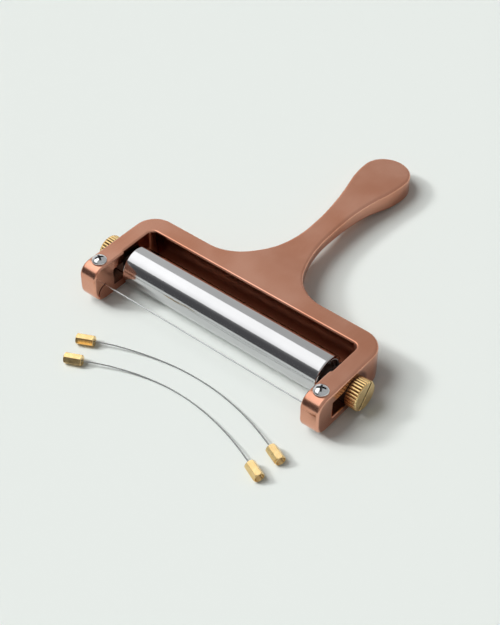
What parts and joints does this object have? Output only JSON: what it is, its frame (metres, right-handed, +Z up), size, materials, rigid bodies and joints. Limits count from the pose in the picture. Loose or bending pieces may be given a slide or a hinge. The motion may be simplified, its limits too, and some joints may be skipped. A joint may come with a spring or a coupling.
{
  "type": "cheese slicer",
  "caption": "Adjustable wire cheese slicer: T-shaped copper-coloured frame, steel roller in sliding blocks, brass thumb screws, taut cutting wire and spare wires.",
  "frame": {"origin": "on the table under the middle of the slicer's own box, spare wires left out", "axes": "+Z up from the table; +Y along the handle, away from the cutting wire; +X along the roller. The tool leans back 4.7 degrees about X, as it rests on a table"},
  "size_m": [0.1496, 0.1917, 0.0233],
  "materials": {
    "copper_plate": "satin copper plating, finely brushed along the arms, on cast zinc",
    "brass": "turned, bright",
    "guide_block": "dark, machined",
    "bush_nylon": "moulded nylon",
    "screw_chrome": "nickel plated",
    "roller_steel": "stainless, brushed round",
    "axle_steel": "ground",
    "ferrule_steel": "crimped",
    "wire_steel": "drawn"
  },
  "bodies": {
    "frame": {"frame": "copper_plate", "cutting_wire": "wire_steel", "wire_ferrule_right": "ferrule_steel", "wire_ferrule_left": "ferrule_steel"},
    "carriage": {"axle": "axle_steel", "slide_block_right": "guide_block", "slide_block_left": "guide_block"},
    "roller": {"roller_tube": "roller_steel", "roller_bush_right": "bush_nylon", "roller_bush_left": "bush_nylon"},
    "spare_wires": {"spare_wire_1": "wire_steel", "spare_barrel_1a": "brass", "spare_ferrule_1a": "ferrule_steel", "spare_barrel_1b": "brass", "spare_ferrule_1b": "ferrule_steel", "spare_wire_2": "wire_steel", "spare_barrel_2a": "brass", "spare_ferrule_2a": "ferrule_steel", "spare_barrel_2b": "brass", "spare_ferrule_2b": "ferrule_steel"},
    "thumb_washer_right": {"thumb_washer_right": "brass"},
    "thumb_screw_right": {"thumb_screw_right": "brass"},
    "wire_screw_right": {"wire_screw_right": "screw_chrome"},
    "wire_barrel_right": {"wire_barrel_right": "brass"},
    "thumb_washer_left": {"thumb_washer_left": "brass"},
    "thumb_screw_left": {"thumb_screw_left": "brass"},
    "wire_screw_left": {"wire_screw_left": "screw_chrome"},
    "wire_barrel_left": {"wire_barrel_left": "brass"}
  },
  "joints": [
    {"name": "roller_slide", "type": "slide", "parent": "frame", "child": "carriage", "axis": [0, -0.9967, 0.0815], "range_m": [0, 0.0084]},
    {"name": "roller_spin", "type": "hinge", "parent": "carriage", "child": "roller", "pos_m": [0, -0.05304, 0.0095], "axis": [1, 0, 0], "continuous": true},
    {"name": "thumb_travel_right", "type": "slide", "parent": "carriage", "child": "thumb_washer_right", "axis": [1, 0, 0], "range_m": [0, 0.0014]},
    {"name": "thumb_turn_right", "type": "hinge", "parent": "thumb_washer_right", "child": "thumb_screw_right", "pos_m": [0.0688, -0.05304, 0.0095], "axis": [1, 0, 0], "range_deg": [0, 720]},
    {"name": "wire_tension_right", "type": "hinge", "parent": "frame", "child": "wire_screw_right", "pos_m": [0.06375, -0.06896, 0.02093], "axis": [0, 0.0815, 0.9967], "range_deg": [0, 360]},
    {"name": "barrel_travel_right", "type": "slide", "parent": "frame", "child": "wire_barrel_right", "axis": [0, -0.0815, -0.9967], "range_m": [0, 0.0006]},
    {"name": "thumb_travel_left", "type": "slide", "parent": "carriage", "child": "thumb_washer_left", "axis": [-1, 0, 0], "range_m": [0, 0.0014]},
    {"name": "thumb_turn_left", "type": "hinge", "parent": "thumb_washer_left", "child": "thumb_screw_left", "pos_m": [-0.0688, -0.05304, 0.0095], "axis": [-1, 0, 0], "range_deg": [0, 720]},
    {"name": "wire_tension_left", "type": "hinge", "parent": "frame", "child": "wire_screw_left", "pos_m": [-0.06375, -0.06896, 0.02093], "axis": [0, 0.0815, 0.9967], "range_deg": [0, 360]},
    {"name": "barrel_travel_left", "type": "slide", "parent": "frame", "child": "wire_barrel_left", "axis": [0, -0.0815, -0.9967], "range_m": [0, 0.0006]},
    {"name": "spare_wires_slide", "type": "slide", "parent": "frame", "child": "spare_wires", "axis": [0, -1, 0], "range_m": [0, 0.06]}
  ],
  "couplings": [
    {"joint": "thumb_turn_right", "follows": "thumb_travel_right", "rad_per_m": 8976},
    {"joint": "wire_tension_right", "follows": "barrel_travel_right", "rad_per_m": 10472},
    {"joint": "thumb_turn_left", "follows": "thumb_travel_left", "rad_per_m": 8976},
    {"joint": "wire_tension_left", "follows": "barrel_travel_left", "rad_per_m": 10472}
  ]
}
